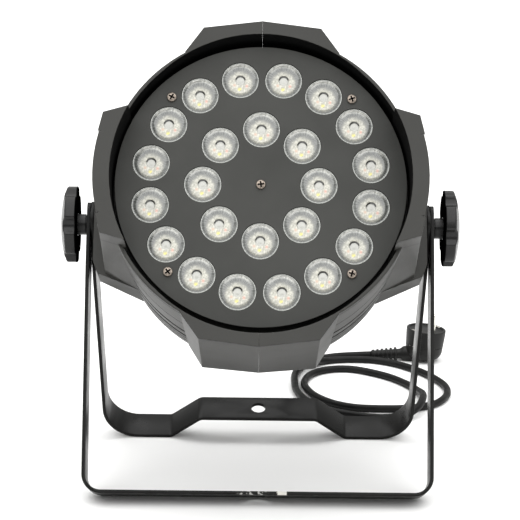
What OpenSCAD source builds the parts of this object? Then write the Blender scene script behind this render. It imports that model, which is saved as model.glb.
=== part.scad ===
// LED par can light on a double yoke: a cast can in two halves with four
// lobes, a recessed disc of lenses, two flat-strap yokes clamped by star knobs,
// a rear panel with controls, and a mains lead with an angled plug.
// Millimetres. The object stands on both yoke bars at Z = 0 and faces -Y.

/* [Stand] */
// Angle of the can's axis above the horizontal, degrees
head_tilt = 28.4; // [22:0.2:34]
// Lean of the front yoke towards the viewer, degrees
front_lean = 25.2; // [20:0.2:28]
// Lean of the rear yoke away from the viewer, degrees
rear_lean = 21.2; // [18:0.2:24]
// Distance from the pivot to the outer face of the front yoke's bar
front_drop = 231.6; // [230:0.2:234]
// Width of the yoke strap
strap_w = 30; // [26:1:32]
// Thickness of the yoke strap
strap_t = 3; // [2.6:0.1:3]
// Radius of the clamp bolt hole in each yoke bar
bolt_r = 6.5; // [5:0.25:7]
// Rise of the joggled middle of the rear yoke's bar
joggle = 21; // [14:1:22]

/* [Can] */
// Distance from the pivot forward to the front face of the disc
plate_z = 126; // [124:1:128]
// Radius of the face disc
plate_r = 117; // [114:0.5:118]
// Outside radius of the can at the rim
rim_r = 124.4; // [124:0.1:125]
// Outside radius of the can at the pivot
waist_r = 119.4; // [118.4:0.1:120]
// Outside radius of the can at the rear edge
tail_r = 100; // [99.6:0.1:101]

/* [Optics] */
// Visible diameter of one lens
lens_d = 30; // [27:0.5:30.5]
// Radius of the outer ring of lenses
outer_ring_r = 90; // [89:0.5:91]
// Radius of the inner ring of lenses
inner_ring_r = 46.6; // [45:0.2:48]

/* [Knobs] */
// Radius over the points of a star knob
knob_r = 32.8; // [30:0.2:34]
// Turn of the left knob about the pivot axis, degrees
left_turn = 11; // [0:1:60]
// Turn of the right knob about the pivot axis, degrees
right_turn = 0; // [0:1:60]

/* [Lead] */
// Diameter of the mains lead
cord_d = 7.2; // [6.8:0.1:7.4]

/* [Hidden] */
$fa = 4;
$fs = 0.8;
OUTER_COUNT = 16;
INNER_COUNT = 8;
big = 700;
fit = 0.06;
rim_z = plate_z + 12;
ear_z = plate_z + 32;
rear_z = -58;
lens_r = lens_d / 2;
pivot_z = front_drop * cos(front_lean) + strap_w / 2 * sin(front_lean);
rear_drop = (pivot_z - strap_w / 2 * sin(rear_lean)) / cos(rear_lean);
// Height of the top and bottom lobes above the axis, at the rim and at the rear
lobe_rim_y = 135;
lobe_rear_y = 104;
// Puts the middle of the object's depth, without its lead, at Y = 0
pivot_y = ((lobe_rim_y - lobe_rear_y) * sin(head_tilt) + (rim_z + rear_z) * cos(head_tilt)) / 2;

// Places along the pivot axis, from the can outwards
pad_x = 141.3;
boss_x = 142.1;
rear_arm_x = 142.3 + strap_t;
front_arm_x = rear_arm_x + 0.2 + strap_t;
washer_x = front_arm_x + 0.1;
washer_t = 1.5;
stem_x = washer_x + washer_t;
knob_x = 157;
stud_r = 4;
insert_r = 7;
insert_x = 129;

// Places along the can's axis
plate_t = 2;
base_z = 101;
base_t = 4.4;
board_z = base_z + base_t;
board_t = 1.6;
lamp_z = board_z + board_t;
fin_z = 60;
fan_t = 25;
cover_t = 3;
cover_z = rear_z + cover_t;

function zero_pad(i) = i < 10 ? str("0", i) : str(i);
function outer_name(i) = str("lens_outer_", zero_pad(i + 1));
function inner_name(i) = str("lens_inner_", zero_pad(i + 1));

// ---------------------------------------------------------------- frames

// Can frame: X across, Y up the face, Z forward along the can's axis
module in_head() {
    translate([0, pivot_y, pivot_z]) rotate([90 - head_tilt, 0, 0]) children();
}

// Yoke frame: -Z runs from the pivot down to the bar, Y across the strap
module in_yoke(lean) {
    translate([0, pivot_y, pivot_z]) rotate([lean, 0, 0]) children();
}

// Side frame: Z runs outwards along the pivot axis, side is -1 left or 1 right
module on_side(side) {
    translate([0, pivot_y, pivot_z]) rotate([0, side * 90, 0]) children();
}

// One child at each angle round a ring
module ring(r, angles) {
    for (a = angles)
        rotate(a) translate([r, 0, 0]) children();
}

// A closed solid through rings of points, all with the same count, in
// anticlockwise order seen from the end where the first ring is the lower one
module loft(rings) {
    n = len(rings[0]);
    last = len(rings) - 1;
    points = [for (loop = rings) for (p = loop) p];
    sides = [for (k = [0:last - 1]) for (i = [0:n - 1]) for (half = [0, 1])
        let (a = k * n + i, b = k * n + (i + 1) % n)
            half == 0 ? [a + n, b, a] : [a + n, b + n, b]];
    first_cap = [for (i = [0:n - 1]) i];
    last_cap = [for (i = [n - 1:-1:0]) last * n + i];
    polyhedron(points, concat([first_cap, last_cap], sides), convexity = 6);
}

function arc(cx, cy, r, from, to, steps = 12) =
    [for (i = [0:steps]) let (a = from + (to - from) * i / steps)
        [cx + r * cos(a), cy + r * sin(a)]];

function mirrored(path) =
    [for (i = [len(path) - 1:-1:0]) [-path[i][0], path[i][1]]];

function backwards(path) = [for (i = [len(path) - 1:-1:0]) path[i]];

// ---------------------------------------------------------------- yokes

arm_end = 18;
arm_straight = 40;
arm_round = 9;
front_corner_r = 16;
rear_corner_r = 32;
front_low_x = front_arm_x - 1.5;
rear_low_x = rear_arm_x - 3.3;
joggle_x = 66.5;
joggle_r = 9;
joggle_slope = 38;

// Right half of an arm and its corner, t in from the outer face
function arm_path(top_x, low_x, drop, r, t) = concat(
    [[top_x - t, arm_end], [top_x - t, -arm_straight]],
    arc(low_x - r, r - drop, r - t, 0, -90));

// Right half of the joggle in the rear bar, t in from the outer face
function joggle_path(drop, t) =
    let (both = 2 * joggle_r - strap_t,
         run = both * sin(joggle_slope)
             + (joggle - both * (1 - cos(joggle_slope))) / tan(joggle_slope))
    concat(
        arc(joggle_x + run / 2, joggle_r - drop, joggle_r - t, -90, -90 - joggle_slope, 5),
        arc(joggle_x - run / 2, joggle + strap_t - joggle_r - drop, joggle_r - strap_t + t,
            90 - joggle_slope, 90, 5));

// Strap bent along an outer and an inner path, with round arm ends and holes
module bent_strap(outer, inner, drop) {
    difference() {
        intersection() {
            rotate([90, 0, 0]) linear_extrude(strap_w, center = true)
                polygon(concat(outer, mirrored(outer), backwards(mirrored(inner)), backwards(inner)));
            union() {
                translate([0, 0, -big / 2 + arm_end - arm_round])
                    cube([big, strap_w, big], center = true);
                cube([big, strap_w - 2 * arm_round, 2 * arm_end], center = true);
                for (s = [-1, 1])
                    translate([0, s * (strap_w / 2 - arm_round), arm_end - arm_round])
                        rotate([0, 90, 0]) cylinder(r = arm_round, h = big, center = true);
            }
        }
        rotate([0, 90, 0]) cylinder(r = stud_r + fit, h = big, center = true);
        translate([0, 0, -drop]) cylinder(r = bolt_r, h = 80, center = true);
    }
}

module front_yoke() {
    color([0.09, 0.09, 0.09]) in_yoke(-front_lean)
        bent_strap(
            arm_path(front_arm_x, front_low_x, front_drop, front_corner_r, 0),
            arm_path(front_arm_x, front_low_x, front_drop, front_corner_r, strap_t),
            front_drop);
}

function rear_path(t) = concat(
    arm_path(rear_arm_x, rear_low_x, rear_drop, rear_corner_r, t),
    joggle_path(rear_drop, t));

module rear_yoke() {
    color([0.10, 0.10, 0.10]) in_yoke(rear_lean)
        bent_strap(rear_path(0), rear_path(strap_t), rear_drop);
}

// ---------------------------------------------------------------- housing

seam = 0.02;
wall = 4;
recess_r = 121.5;
ear_recess_r = 119.5;
shelf_r = 104;
shelf_t = 5;
inner_r = waist_r - 5;
screw_post_r = 103.1;
seam_screw_y = 108;
seam_screw_z = [80, -8];
seam_tab_top = [129, 124.5];
seam_tab_y = 102;

// Outside radius of the can at a distance z along its axis
function skin_r(z) = z > -4 ? waist_r + (rim_r - waist_r) * (z + 4) / (rim_z + 4)
    : z > -34 ? waist_r + (112 - waist_r) * (-4 - z) / 30
    : 112 + (tail_r - 112) * (-34 - z) / (-34 - rear_z);

// A groove in the skin between two distances, as outline points
function groove(hi, lo, deep) =
    [[skin_r(hi), hi], [skin_r(hi) - deep, hi - deep * 0.5],
     [skin_r(lo) - deep, lo + deep * 0.5], [skin_r(lo), lo]];

// Body of revolution, with the grooves that ring the can
module can_skin() {
    rotate_extrude() polygon(concat(
        [[0, rim_z], [skin_r(rim_z) - 0.8, rim_z], [skin_r(rim_z), rim_z - 0.8]],
        groove(131, 129.4, 1.2),
        groove(89, 87.2, 1.2),
        groove(56, 49, 2.6),
        groove(36, 29, 2.6),
        groove(22, 20, 1.4),
        groove(10, 8, 1.4),
        groove(-6, -8, 1.4),
        groove(-20, -22, 1.4),
        [[112, -34], [tail_r, rear_z], [0, rear_z]]));
}

// One ring of the side lobe: base, corner and outer points of its upper half
function ear_ring(z, xb, yb, xc, yc, xo, yo) =
    [[70, -40, z], [xb, -yb, z], [xc, -yc, z], [xo, -yo, z],
     [xo, yo, z], [xc, yc, z], [xb, yb, z], [70, 40, z]];

module ear_body() {
    loft([
        ear_ring(rear_z, 86, 46, 116, 30, 118, 24),
        ear_ring(-34, 95, 57, 134, 40, pad_x, 30),
        ear_ring(-4, 99.5, 66.5, 136.8, 49.4, pad_x, 38),
        ear_ring(26, 101, 64, 137.2, 49.4, pad_x, 38)]);
    loft([
        ear_ring(25, 101, 64, 130.4, 49.4, 131, 34),
        ear_ring(ear_z, 106, 55.2, 125.3, 49.4, 125.7, 34)]);
}

ear_flange_t = 4;
ear_flange_r = 132.7;
ear_notch_y = 33;

// Front flange of the side lobe, with a small step either side of its arc
module ear_flange() {
    translate([0, 0, ear_z - ear_flange_t]) linear_extrude(ear_flange_t)
        polygon([[100, -56], [106, -55.2], [125.7, -49.4], [129.2, -34.5], [126, -ear_notch_y],
                 [126, ear_notch_y], [129.2, 34.5], [125.7, 49.4], [106, 55.2], [100, 56]]);
    intersection() {
        translate([0, 0, ear_z - ear_flange_t]) cylinder(r = ear_flange_r, h = ear_flange_t);
        translate([150, 0, ear_z]) cube([60, 2 * ear_notch_y, 20], center = true);
    }
    // Raised edge ribs that run back from the flange's corners
    for (s = [-1, 1])
        loft([
            rib_ring(30, s, 128, 49.4, 129.6, 39, 131),
            rib_ring(ear_z, s, 122, 49.4, 125.7, 34.5, 129.2)]);
}

// One ring of the edge rib of a side lobe, on the upper or lower side
function rib_ring(z, s, x0, y1, x1, y2, x2) =
    s > 0 ? [[x0, y2, z], [x2, y2, z], [x1, y1, z], [x0, y1, z]]
          : [[x0, -y1, z], [x1, -y1, z], [x2, -y2, z], [x0, -y2, z]];

// One ring of the top or bottom lobe
function lobe_ring(z, b, y0, c, y1, y2) =
    [[-40, 60, z], [40, 60, z], [b, y0, z], [c, y1, z], [0, y2, z], [-c, y1, z], [-b, y0, z]];

module lobe_body() {
    loft([
        lobe_ring(rear_z, 48, 84, 36, 101, lobe_rear_y),
        lobe_ring(-34, 54, 94, 42, 112.5, 116),
        lobe_ring(-4, 60, 104, 48, 123.4, 127.7),
        lobe_ring(rim_z, 62.5, 108, 47.6, 129, lobe_rim_y)]);
}

module lobe_cavity() {
    loft([
        lobe_ring(rear_z + 8, 42, 78, 32, 96, 99),
        lobe_ring(-34, 50, 90, 38, 108, 111),
        lobe_ring(-4, 56, 100, 44, 119, 123),
        lobe_ring(base_z - shelf_t - 2, 58, 104, 44, 123, 129)]);
}

module ear_cavity() {
    loft([
        ear_ring(rear_z + 8, 84, 40, 110, 26, 112, 20),
        ear_ring(-34, 90, 52, 124, 36, 126, 26),
        ear_ring(-4, 95, 60, 124, 44, 127, 33),
        ear_ring(base_z - shelf_t - 2, 96, 58, 122, 44, 123.5, 33)]);
}

// Space inside the can behind the face, with the shelf and the rear opening
module can_bore() {
    rotate_extrude() polygon([
        [0, rim_z + 60], [ear_recess_r, rim_z + 60], [ear_recess_r, lamp_z], [112.1, lamp_z - 1],
        [112.1, base_z], [shelf_r, base_z], [shelf_r, base_z - shelf_t], [inner_r, 88],
        [inner_r, -4], [107, -34], [97, cover_z + 9], [86, cover_z + 4], [86, cover_z],
        [97.2, cover_z], [97.2, rear_z - 10], [0, rear_z - 10]]);
}

// Wider recess above and below the side lobes' inner faces
module wide_recess() {
    difference() {
        union() {
            translate([0, 0, lamp_z]) cylinder(r = recess_r, h = 60);
            for (s = [-1, 1])
                translate([0, s * 9, lamp_z]) cylinder(r = 115, h = 60);
        }
        for (s = [-1, 1])
            translate([s * 130, 0, lamp_z]) cube([80, 2 * 56, 200], center = true);
    }
}

module can_shell() {
    difference() {
        union() {
            can_skin();
            for (side = [-1, 1])
                scale_x(side) {
                    ear_body();
                    ear_flange();
                }
            for (side = [-1, 1])
                scale_y(side) lobe_body();
            for (side = [-1, 1])
                translate([side * 120, 0, 0]) rotate([0, side * 90, 0])
                    cylinder(r = 17, h = boss_x - 120);
        }
        can_bore();
        wide_recess();
        for (side = [-1, 1])
            scale_x(side) ear_cavity();
        for (side = [-1, 1])
            scale_y(side) lobe_cavity();
        for (side = [-1, 1])
            translate([side * insert_x, 0, 0]) rotate([0, side * 90, 0])
                cylinder(r = insert_r + 0.01, h = 30);
        ring(cover_screw_r, cover_screw_angles)
            translate([0, 0, cover_z - 1]) cylinder(r = 1.55, h = 8);
    }
    // Tabs inside the seam for its screws
    for (side = [-1, 1])
        for (i = [0, 1])
            translate([0, side * (seam_tab_y + seam_tab_top[i]) / 2, seam_screw_z[i]])
                cube([20, seam_tab_top[i] - seam_tab_y, 10], center = true);
}

module scale_x(side) {
    if (side > 0) children();
    else mirror([1, 0, 0]) children();
}

module scale_y(side) {
    if (side > 0) children();
    else mirror([0, 1, 0]) children();
}

module seam_holes() {
    for (side = [-1, 1])
        for (z = seam_screw_z)
            translate([-12, side * seam_screw_y, z]) rotate([0, 90, 0])
                cylinder(r = 2 + fit, h = 24);
}

module half_can(side) {
    color([0.17, 0.17, 0.16]) in_head() difference() {
        can_shell();
        seam_holes();
        translate([-side * (big / 2 - seam), 0, 0]) cube(big, center = true);
    }
}

module housing_left() { half_can(-1); }
module housing_right() { half_can(1); }

// Pan-head screws along Z, head up, with a cross slot
module pan_screw(r, len, head_r, head_h) {
    difference() {
        union() {
            translate([0, 0, -len]) cylinder(r = r, h = len + 0.2);
            rotate_extrude() polygon(concat(
                [[0, 0], [head_r, 0]],
                arc(head_r - head_h * 0.9, head_h * 0.1, head_h * 0.9, 0, 70, 5),
                [[0, head_h]]));
        }
        for (turn = [0, 90])
            rotate(turn) translate([0, 0, head_h])
                cube([head_r * 1.1, head_r * 0.22, head_h * 0.9], center = true);
    }
}

module housing_screws() {
    color([0.6, 0.6, 0.6]) in_head()
        for (side = [-1, 1])
            for (z = seam_screw_z)
                translate([10, side * seam_screw_y, z]) rotate([0, 90, 0])
                    pan_screw(2, 19, 3.8, 2.2);
}

// ---------------------------------------------------------------- optics

face_screw_angles = [45, 135, 225, 315];
outer_angles = [for (i = [0:OUTER_COUNT - 1]) (i + 0.5) * 360 / OUTER_COUNT];
inner_angles = [for (i = [0:INNER_COUNT - 1]) i * 360 / INNER_COUNT];

module at_lenses() {
    ring(outer_ring_r, outer_angles) children();
    ring(inner_ring_r, inner_angles) children();
}

module at_face_screws() {
    children();
    ring(screw_post_r, face_screw_angles) children();
}

module face_plate() {
    color([0.15, 0.15, 0.145]) in_head() translate([0, 0, plate_z - plate_t]) difference() {
        cylinder(r = plate_r, h = plate_t);
        at_lenses() translate([0, 0, -1]) cylinder(r = lens_r + 0.2, h = plate_t + 2);
        at_face_screws() translate([0, 0, -1]) cylinder(r = 2.2, h = plate_t + 2);
    }
}

module face_screws() {
    color([0.55, 0.5, 0.42]) in_head() at_face_screws()
        translate([0, 0, plate_z]) pan_screw(1.7, 12, 3.9, 2.3);
}

flange_r = 16.2;
foot_r = 6.2;

// Collimator lens: flange under the disc, tapered body, foot ring on the board
module lens() {
    back = plate_z - plate_t;
    rotate_extrude() polygon([
        [0, lamp_z + 3], [4.2, lamp_z + 3], [4.2, lamp_z], [foot_r, lamp_z], [lens_r, back - 2.5],
        [flange_r, back - 2], [flange_r, back], [lens_r, back], [lens_r, plate_z - 0.8],
        [4, plate_z - 0.8], [3.2, plate_z - 4.5], [0, plate_z - 4.5]]);
}

module lens_at(r, a) {
    color([0.86, 0.86, 0.82]) in_head() ring(r, [a]) lens();
}

module led_board() {
    color([0.85, 0.85, 0.8]) in_head() translate([0, 0, board_z]) difference() {
        cylinder(r = 110, h = board_t);
        at_face_screws() translate([0, 0, -1]) cylinder(r = 4.2, h = board_t + 2);
    }
}

module led_emitters() {
    color([0.95, 0.85, 0.3]) in_head() at_lenses() translate([0, 0, lamp_z]) {
        translate([0, 0, 0.4]) cube([5, 5, 0.8], center = true);
        translate([0, 0, 0.7]) cylinder(r = 1.8, h = 1);
    }
}

// ---------------------------------------------------------------- insides

fin_pitch = 11;
fin_half_count = 8;

module heat_sink() {
    color([0.7, 0.7, 0.7]) in_head() {
        translate([0, 0, base_z]) cylinder(r = 112, h = base_t);
        intersection() {
            translate([0, 0, fin_z]) cylinder(r = 98, h = base_z - fin_z + 1);
            for (i = [-fin_half_count:fin_half_count])
                translate([i * fin_pitch, 0, (fin_z + base_z + 1) / 2])
                    cube([2.4, 2 * 98, base_z + 1 - fin_z], center = true);
        }
        at_face_screws() translate([0, 0, base_z + 1]) difference() {
            cylinder(r = 3.8, h = plate_z - plate_t - base_z - 1);
            translate([0, 0, base_t + 2]) cylinder(r = 1.7 + fit, h = 40);
        }
    }
}

fan_w = 92;
fan_z = fin_z - fan_t;
shaft_r = 2;

module fan_frame() {
    color([0.12, 0.12, 0.12]) in_head() translate([0, 0, fan_z]) difference() {
        union() {
            difference() {
                translate([0, 0, fan_t / 2]) cube([fan_w, fan_w, fan_t], center = true);
                translate([0, 0, -1]) cylinder(r = 43.5, h = fan_t + 2);
            }
            for (a = [0, 90])
                rotate(a + 45) translate([0, 0, 1.5]) cube([89, 5, 3], center = true);
            cylinder(r = 19, h = 3);
            cylinder(r = 5, h = 7);
        }
        translate([0, 0, -1]) cylinder(r = shaft_r + fit, h = 20);
        for (a = [0:90:270])
            rotate(a) translate([41, 41, -1]) cylinder(r = 2.2, h = fan_t + 2);
    }
}

blade_count = 7;

module fan_rotor() {
    color([0.16, 0.16, 0.16]) in_head() translate([0, 0, fan_z]) {
        difference() {
            translate([0, 0, 3.5]) cylinder(r = 18, h = 19.5);
            translate([0, 0, 3]) cylinder(r = 16, h = 16);
        }
        translate([0, 0, 0.5]) cylinder(r = shaft_r, h = 20);
        for (i = [0:blade_count - 1])
            rotate(i * 360 / blade_count) translate([29, 0, 13]) rotate([38, 0, 0])
                cube([25.5, 17, 1.6], center = true);
    }
}

supply_w = 140;
supply_h = 74;
supply_z = -20;
supply_t = 40;
supply_post_x = 62;
supply_post_y = 28;

module power_supply() {
    color([0.75, 0.75, 0.72]) in_head() translate([0, 0, supply_z]) {
        translate([-supply_w / 2, -supply_h / 2, 0]) cube([supply_w, supply_h, 1.6]);
        translate([-50, -28, 1.2]) cube([46, 50, 30]);
        translate([6, -28, 1.2]) cube([26, 34, 24]);
        for (i = [0:3])
            translate([44, -27 + i * 17, 1.2]) cylinder(r = 6.4, h = 26);
        translate([4, 14, 1.2]) cube([30, 12, supply_t - 20]);
    }
}

// ---------------------------------------------------------------- rear panel

cover_r = 97;
cover_screw_r = 92;
cover_screw_angles = [0:60:300];
window_y = 42;
window_w = 46;
window_h = 15;
button_y = 19;
button_r = 4;
button_x = [-27, -9, 9, 27];
dmx_x = 38;
dmx_y = -16;
fuse_x = -30;
gland_x = 28;
socket_y = -62;
eye_y = 74;
eye_r = 12;
eye_rod_r = 2.6;

module rear_cover() {
    color([0.13, 0.13, 0.13]) in_head() difference() {
        union() {
            translate([0, 0, rear_z]) cylinder(r = cover_r, h = cover_t);
            for (x = [-1, 1])
                for (y = [-1, 1])
                    translate([x * supply_post_x, y * supply_post_y, rear_z + 1])
                        cylinder(r = 4, h = supply_z - rear_z - 1);
        }
        translate([0, 0, rear_z - 1]) {
            ring(cover_screw_r, cover_screw_angles) cylinder(r = 1.7, h = 10);
            translate([-window_w / 2, window_y - window_h / 2, 0]) cube([window_w, window_h, 10]);
            for (x = button_x)
                translate([x, button_y, 0]) cylinder(r = button_r + fit, h = 10);
            for (s = [-1, 1])
                translate([s * dmx_x, dmx_y, 0]) cylinder(r = 12, h = 10);
            translate([fuse_x, socket_y, 0]) cylinder(r = 7.5, h = 10);
            translate([gland_x, socket_y, 0]) cylinder(r = 7, h = 10);
            for (s = [-1, 1])
                translate([s * eye_r, eye_y, 0]) cylinder(r = eye_rod_r, h = 10);
        }
    }
}

module rear_screws() {
    color([0.5, 0.5, 0.48]) in_head() ring(cover_screw_r, cover_screw_angles)
        translate([0, 0, rear_z]) rotate([180, 0, 0]) pan_screw(1.5, 7, 3.2, 1.9);
}

module display_window() {
    color([0.25, 0.3, 0.35]) in_head() translate([0, window_y, rear_z]) {
        translate([0, 0, cover_t / 2]) cube([window_w, window_h, cover_t], center = true);
        translate([0, 0, cover_t + 1]) cube([window_w + 6, window_h + 6, 2], center = true);
    }
}

button_out = 2.4;

module button(i) {
    color([0.2, 0.2, 0.2]) in_head() translate([button_x[i], button_y, 0]) {
        translate([0, 0, rear_z - button_out]) cylinder(r = button_r, h = button_out + cover_t + 0.5);
        translate([0, 0, cover_z]) cylinder(r = button_r + 1.2, h = 1.4);
    }
}

module button_mode() { button(0); }
module button_down() { button(1); }
module button_up() { button(2); }
module button_enter() { button(3); }

socket_out = 3;
socket_deep = 20;

// Round three-pole socket in a square flange, bored or with three holes
module dmx_socket(side, bored) {
    color([0.14, 0.14, 0.15]) in_head()
        translate([side * dmx_x, dmx_y, rear_z]) difference() {
            union() {
                translate([0, 0, -1]) cube([26, 30, 2], center = true);
                translate([0, 0, -socket_out]) cylinder(r = 11.4, h = socket_out + socket_deep);
            }
            if (bored) difference() {
                translate([0, 0, -socket_out - 1]) cylinder(r = 9.4, h = 15);
                for (a = [-50, 50, 180])
                    rotate(a - 90) translate([4.6, 0, -socket_out]) cylinder(r = 1.2, h = 15);
            }
            else {
                translate([0, 0, -socket_out - 1]) difference() {
                    cylinder(r = 10.4, h = 8);
                    cylinder(r = 9, h = 8);
                }
                for (a = [-50, 50, 180])
                    rotate(a - 90) translate([4.6, 0, -socket_out - 1]) cylinder(r = 1.3, h = 12);
            }
        }
}

module dmx_in() { dmx_socket(-1, true); }
module dmx_out() { dmx_socket(1, false); }

fuse_stem_r = 4.5;

module fuse_holder() {
    color([0.12, 0.12, 0.12]) in_head() translate([fuse_x, socket_y, rear_z]) difference() {
        union() {
            translate([0, 0, -2.5]) cylinder(r = 9.5, h = 2.5);
            cylinder(r = 7.3, h = 26);
        }
        translate([0, 0, -3]) cylinder(r = fuse_stem_r + fit, h = 25);
    }
}

module fuse_cap() {
    color([0.18, 0.18, 0.18]) in_head() translate([fuse_x, socket_y, rear_z]) difference() {
        union() {
            translate([0, 0, -7]) cylinder(r = 7, h = 4.4);
            translate([0, 0, -3]) cylinder(r = fuse_stem_r, h = 17);
        }
        translate([0, 0, -7]) cube([10, 1.6, 2.4], center = true);
    }
}

gland_nut_r = 9.5;
gland_tip = 12;

// Cord gland: hexagon, dome, bore for the lead and a nut inside the cover
module cable_gland() {
    color([0.11, 0.11, 0.11]) in_head() translate([gland_x, socket_y, rear_z]) difference() {
        union() {
            translate([0, 0, -4]) cylinder(r = gland_nut_r, h = 4, $fn = 6);
            rotate_extrude() polygon([[0, -4], [8, -4], [7.6, -8], [6, -gland_tip], [0, -gland_tip]]);
            cylinder(r = 6.8, h = 9);
            translate([0, 0, cover_t]) cylinder(r = gland_nut_r, h = 4, $fn = 6);
        }
        translate([0, 0, cover_t + 2]) cylinder(r = cord_d / 2 + 0.4, h = 10);
    }
}

// Wire loop for a safety cable, its two legs through the cover
module safety_eye() {
    color([0.35, 0.35, 0.35]) in_head() translate([0, eye_y, rear_z]) {
        difference() {
            rotate([90, 0, 0]) rotate_extrude() translate([eye_r, 0]) circle(eye_rod_r);
            translate([0, 0, 25]) cube(50, center = true);
        }
        for (s = [-1, 1])
            translate([s * eye_r, 0, -0.01]) cylinder(r = eye_rod_r, h = 7);
    }
}

// ---------------------------------------------------------------- clamps

module pivot_inserts() {
    color([0.75, 0.6, 0.3])
        for (side = [-1, 1])
            on_side(side) translate([0, 0, insert_x]) difference() {
                cylinder(r = insert_r, h = boss_x - insert_x);
                translate([0, 0, -1]) cylinder(r = stud_r + fit, h = 20);
            }
}

module washer(side) {
    color([0.5, 0.5, 0.5]) on_side(side) translate([0, 0, washer_x]) difference() {
        cylinder(r = 8, h = washer_t);
        translate([0, 0, -1]) cylinder(r = stud_r + fit, h = washer_t + 2);
    }
}

module left_washer() { washer(-1); }
module right_washer() { washer(1); }

knob_edge_t = 9.5;
knob_mid_t = 14.5;
stem_r = 9.1;
lobe_count = 6;
scallop_r = 7.4;
scallop_at = 35.6;

// Star knob: stem, domed disc with scallops, blind hole for its stud
module knob(side, turn) {
    sphere_r = (knob_r * knob_r + pow(knob_mid_t - knob_edge_t, 2)) / (2 * (knob_mid_t - knob_edge_t));
    color([0.10, 0.10, 0.10]) on_side(side) rotate(90 + turn) difference() {
        union() {
            translate([0, 0, stem_x]) cylinder(r = stem_r, h = knob_x - stem_x + 1);
            translate([0, 0, knob_x]) intersection() {
                cylinder(r = knob_r, h = knob_mid_t);
                translate([0, 0, knob_mid_t - sphere_r]) sphere(sphere_r, $fn = 180);
            }
        }
        ring(scallop_at, [0:360 / lobe_count:359])
            translate([0, 0, knob_x - 1]) cylinder(r = scallop_r, h = 20);
        translate([0, 0, knob_x - 20]) cylinder(r = stud_r, h = 30);
    }
}

module left_knob() { knob(-1, left_turn); }
module right_knob() { knob(1, right_turn); }

stud_end = insert_x + 1.5;

module stud(side) {
    color([0.6, 0.6, 0.58]) on_side(side) translate([0, 0, stud_end])
        cylinder(r = stud_r, h = knob_x + 10 - stud_end);
}

module left_stud() { stud(-1); }
module right_stud() { stud(1); }

// ---------------------------------------------------------------- lead

cord_r = cord_d / 2;
cord_sides = 10;
ring_step = 18;
floor_z = cord_r;
plug_x = 171;
plug_y = 322;
plug_relief_len = 34;
relief_tip_x = plug_x - 54;
relief_z = 5.6;

// Way out of the gland, as a unit vector
out_y = cos(head_tilt);
out_z = -sin(head_tilt);
// Where the lead starts, measured from the foot of the pivot
start_y = socket_y * sin(head_tilt) - (rear_z - gland_tip - 0.2) * cos(head_tilt);
start_z = pivot_z + socket_y * cos(head_tilt) + (rear_z - gland_tip - 0.2) * sin(head_tilt);

// Route of the lead, each point from the foot of the pivot: out of the gland,
// down to the floor, once round a wide loop, once round a narrower one that
// climbs over it, and into the relief of the plug
route = [
    [gland_x, start_y, start_z],
    [gland_x, start_y + 9 * out_y, start_z + 9 * out_z],
    [28, 52, 117],
    [28, 78, 102],
    [29, 106, 86],
    [30, 135, 70],
    [32, 165, 54],
    [34, 195, 39],
    [37, 225, 26],
    [42, 252, 15.5],
    [49, 275, 9],
    [58, 292, 5.4],
    [70, 304, 3.9],
    [90, 310, floor_z],
    [117, 309, floor_z],
    [140, 297, floor_z],
    [160, 276, floor_z],
    [176, 250, floor_z],
    [186, 220, floor_z],
    [184, 190, floor_z],
    [170, 164, floor_z],
    [147, 151, floor_z],
    [120, 148, floor_z],
    [92, 151, floor_z],
    [70, 165, floor_z],
    [54, 189, floor_z],
    [46, 217, floor_z],
    [47, 239, floor_z],
    [54, 258, floor_z],
    [68, 272, floor_z],
    [86, 277, floor_z],
    [104, 272, floor_z],
    [130, 252, floor_z],
    [148, 227, floor_z],
    [157, 202, 5],
    [160, 179, 9],
    [158, 156, 11.2],
    [152, 137, 9],
    [139, 125, 5],
    [117, 121, floor_z],
    [90, 128, floor_z],
    [66, 143, floor_z],
    [48, 168, floor_z],
    [38, 200, floor_z],
    [36, 230, floor_z],
    [37, 258, floor_z],
    [44, 285, floor_z],
    [58, 307, floor_z],
    [78, 320, floor_z],
    [98, plug_y, 4.6],
    [relief_tip_x, plug_y, relief_z]];

// Point on a smooth curve through the route, at a place u along it
function pick(i) = route[max(0, min(len(route) - 1, i))];
function along(u) =
    let (i = min(floor(u), len(route) - 2), t = u - i,
         a = pick(i - 1), b = pick(i), c = pick(i + 1), d = pick(i + 2))
    0.5 * (2 * b + (c - a) * t + (2 * a - 5 * b + 4 * c - d) * t * t
        + (3 * b - a - 3 * c + d) * t * t * t);

// Places along the route that are about ring_step apart
spans = [for (i = [0:len(route) - 2])
    let (n = max(1, round(norm(route[i + 1] - route[i]) / ring_step)))
        for (k = [0:n - 1]) i + k / n];
stations = concat(spans, [len(route) - 1]);

function unit(v) = v / norm(v);

function cord_ring(u, heading) =
    let (mid = along(u),
         aside = unit(cross(heading, [0, 0, 1])),
         over = cross(aside, heading))
    [for (k = [0:cord_sides - 1])
        let (a = k * 360 / cord_sides)
            mid + cord_r * (aside * cos(a) + over * sin(a))];

function heading_at(u) =
    u <= 0 ? [0, out_y, out_z]
    : u >= len(route) - 1 ? [1, 0, 0]
    : unit(along(u + 0.05) - along(u - 0.05));

module power_cord() {
    color([0.08, 0.08, 0.08]) translate([0, pivot_y, 0])
        loft([for (i = [len(stations) - 1:-1:0]) cord_ring(stations[i], heading_at(stations[i]))]);
}

plug_r = 20.5;
plug_base_r = 19;
plug_h = 33;
plug_lean = 5;
pin_r = 2.4;
pin_len = 19;
pin_gap = 19;
pin_turn = -50;

module at_plug() {
    translate([plug_x, pivot_y + plug_y, 0]) children();
}

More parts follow.
